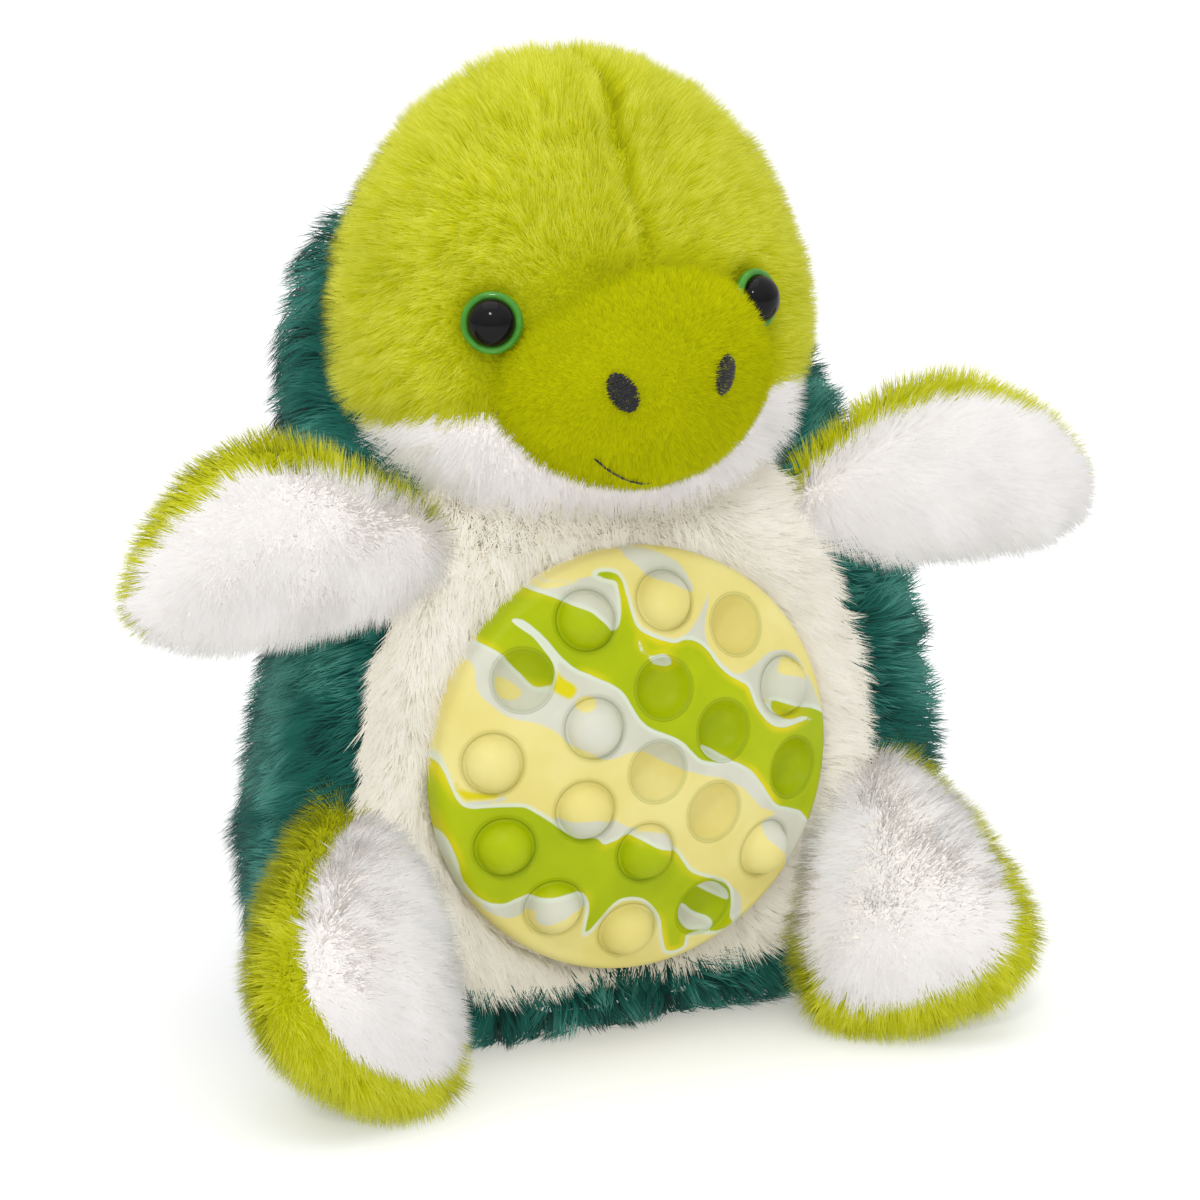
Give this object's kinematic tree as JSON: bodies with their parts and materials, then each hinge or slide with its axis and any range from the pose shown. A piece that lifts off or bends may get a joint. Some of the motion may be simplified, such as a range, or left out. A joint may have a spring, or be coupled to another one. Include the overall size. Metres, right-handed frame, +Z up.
{
  "type": "plush turtle",
  "caption": "Sitting plush turtle with arms out, shaggy shell and a domed silicone popper disc in its belly; limbs swing on soft seams and bubbles press through.",
  "frame": {"origin": "on the flat underside, in the middle of the base panel, below the shell", "axes": "+Z up, the turtle faces -Y, +X is to the right for a viewer who looks at its face"},
  "size_m": [0.2571, 0.1594, 0.229],
  "materials": {
    "shell_fur": "long shaggy pile, matte",
    "lime_fur": "plush pile, matte",
    "white_fur": "plush pile, matte",
    "cream_fur": "long plush pile, matte",
    "snout_fur": "short velvety pile",
    "stuffing": "loose polyester fibre",
    "lining_cloth": "plain woven",
    "marbled_silicone": "satin, marbled lime, pale yellow and white",
    "eye_green": "glossy",
    "eye_black": "polished",
    "washer_plastic": "moulded",
    "black_thread": "embroidery thread"
  },
  "bodies": {
    "torso": {"body_stuffing": "stuffing", "belly_panel": "cream_fur", "shell_panel_left": "shell_fur", "shell_panel_right": "shell_fur", "base_panel": "shell_fur", "popper_plate": "marbled_silicone", "popper_lining": "lining_cloth"},
    "head": {"head_stuffing": "stuffing", "head_panel_left": "lime_fur", "head_panel_right": "lime_fur", "chin_panel": "white_fur", "snout_panel": "snout_fur", "snout_stuffing": "stuffing", "eye_ring_left": "eye_green", "eye_dome_left": "eye_black", "eye_washer_left": "washer_plastic", "eye_ring_right": "eye_green", "eye_dome_right": "eye_black", "eye_washer_right": "washer_plastic", "nostril_left": "black_thread", "nostril_right": "black_thread", "mouth_stitching": "black_thread"},
    "arm_left": {"arm_left_front_panel": "white_fur", "arm_left_back_panel": "lime_fur", "arm_left_stuffing": "stuffing"},
    "arm_right": {"arm_right_front_panel": "white_fur", "arm_right_back_panel": "lime_fur", "arm_right_stuffing": "stuffing"},
    "leg_left": {"leg_left_front_panel": "white_fur", "leg_left_back_panel": "lime_fur", "leg_left_stuffing": "stuffing"},
    "leg_right": {"leg_right_front_panel": "white_fur", "leg_right_back_panel": "lime_fur", "leg_right_stuffing": "stuffing"},
    "bubble_00": {"popper_bubble_00": "marbled_silicone"},
    "bubble_01": {"popper_bubble_01": "marbled_silicone"},
    "bubble_02": {"popper_bubble_02": "marbled_silicone"},
    "bubble_03": {"popper_bubble_03": "marbled_silicone"},
    "bubble_04": {"popper_bubble_04": "marbled_silicone"},
    "bubble_05": {"popper_bubble_05": "marbled_silicone"},
    "bubble_06": {"popper_bubble_06": "marbled_silicone"},
    "bubble_07": {"popper_bubble_07": "marbled_silicone"},
    "bubble_08": {"popper_bubble_08": "marbled_silicone"},
    "bubble_09": {"popper_bubble_09": "marbled_silicone"},
    "bubble_10": {"popper_bubble_10": "marbled_silicone"},
    "bubble_11": {"popper_bubble_11": "marbled_silicone"},
    "bubble_12": {"popper_bubble_12": "marbled_silicone"},
    "bubble_13": {"popper_bubble_13": "marbled_silicone"},
    "bubble_14": {"popper_bubble_14": "marbled_silicone"},
    "bubble_15": {"popper_bubble_15": "marbled_silicone"},
    "bubble_16": {"popper_bubble_16": "marbled_silicone"},
    "bubble_17": {"popper_bubble_17": "marbled_silicone"},
    "bubble_18": {"popper_bubble_18": "marbled_silicone"}
  },
  "joints": [
    {"name": "neck_turn", "type": "hinge", "parent": "torso", "child": "head", "pos_m": [0, 0, 0.12], "axis": [0, 0, 1], "range_deg": [-8, 8], "stiffness_Nm_per_rad": 0.08},
    {"name": "arm_left_swing", "type": "hinge", "parent": "torso", "child": "arm_left", "pos_m": [-0.054, -0.03, 0.122], "axis": [0, 0, 1], "range_deg": [-5, 30], "stiffness_Nm_per_rad": 0.03},
    {"name": "arm_right_swing", "type": "hinge", "parent": "torso", "child": "arm_right", "pos_m": [0.0535, -0.03, 0.1225], "axis": [0, 0, -1], "range_deg": [-5, 30], "stiffness_Nm_per_rad": 0.03},
    {"name": "leg_left_splay", "type": "hinge", "parent": "torso", "child": "leg_left", "pos_m": [-0.07, -0.031, 0.05552], "axis": [0, 0, -1], "range_deg": [-5, 12], "stiffness_Nm_per_rad": 0.04},
    {"name": "leg_right_splay", "type": "hinge", "parent": "torso", "child": "leg_right", "pos_m": [0.066, -0.033, 0.05174], "axis": [0, 0, 1], "range_deg": [-5, 12], "stiffness_Nm_per_rad": 0.04},
    {"name": "bubble_00_pop", "type": "slide", "parent": "torso", "child": "bubble_00", "axis": [0, -0.999, 0.0436], "range_m": [0, 0.0104]},
    {"name": "bubble_01_pop", "type": "slide", "parent": "torso", "child": "bubble_01", "axis": [-0.1509, -0.9884, -0.0172], "range_m": [-0.0104, 0]},
    {"name": "bubble_02_pop", "type": "slide", "parent": "torso", "child": "bubble_02", "axis": [-0.0232, -0.9928, -0.1176], "range_m": [-0.0104, 0]},
    {"name": "bubble_03_pop", "type": "slide", "parent": "torso", "child": "bubble_03", "axis": [0.1277, -0.9902, -0.0574], "range_m": [0, 0.0104]},
    {"name": "bubble_04_pop", "type": "slide", "parent": "torso", "child": "bubble_04", "axis": [0.1509, -0.9831, 0.1033], "range_m": [0, 0.0104]},
    {"name": "bubble_05_pop", "type": "slide", "parent": "torso", "child": "bubble_05", "axis": [0.0232, -0.9788, 0.2037], "range_m": [0, 0.0104]},
    {"name": "bubble_06_pop", "type": "slide", "parent": "torso", "child": "bubble_06", "axis": [-0.1277, -0.9814, 0.1434], "range_m": [-0.0104, 0]},
    {"name": "bubble_07_pop", "type": "slide", "parent": "torso", "child": "bubble_07", "axis": [-0.3041, -0.9493, -0.0803], "range_m": [-0.0104, 0]},
    {"name": "bubble_08_pop", "type": "slide", "parent": "torso", "child": "bubble_08", "axis": [-0.2025, -0.9552, -0.2159], "range_m": [-0.0104, 0]},
    {"name": "bubble_09_pop", "type": "slide", "parent": "torso", "child": "bubble_09", "axis": [-0.0467, -0.9581, -0.2826], "range_m": [-0.0104, 0]},
    {"name": "bubble_10_pop", "type": "slide", "parent": "torso", "child": "bubble_10", "axis": [0.1216, -0.9572, -0.2626], "range_m": [0, 0.0104]},
    {"name": "bubble_11_pop", "type": "slide", "parent": "torso", "child": "bubble_11", "axis": [0.2574, -0.9528, -0.1611], "range_m": [-0.0104, 0]},
    {"name": "bubble_12_pop", "type": "slide", "parent": "torso", "child": "bubble_12", "axis": [0.3242, -0.946, -0.0055], "range_m": [0, 0.0104]},
    {"name": "bubble_13_pop", "type": "slide", "parent": "torso", "child": "bubble_13", "axis": [0.3041, -0.9386, 0.1627], "range_m": [-0.0104, 0]},
    {"name": "bubble_14_pop", "type": "slide", "parent": "torso", "child": "bubble_14", "axis": [0.2025, -0.9327, 0.2983], "range_m": [0, 0.0104]},
    {"name": "bubble_15_pop", "type": "slide", "parent": "torso", "child": "bubble_15", "axis": [0.0467, -0.9298, 0.3651], "range_m": [-0.0104, 0]},
    {"name": "bubble_16_pop", "type": "slide", "parent": "torso", "child": "bubble_16", "axis": [-0.1216, -0.9307, 0.345], "range_m": [-0.0104, 0]},
    {"name": "bubble_17_pop", "type": "slide", "parent": "torso", "child": "bubble_17", "axis": [-0.2574, -0.9351, 0.2435], "range_m": [0, 0.0104]},
    {"name": "bubble_18_pop", "type": "slide", "parent": "torso", "child": "bubble_18", "axis": [-0.3242, -0.9419, 0.0879], "range_m": [-0.0104, 0]}
  ]
}
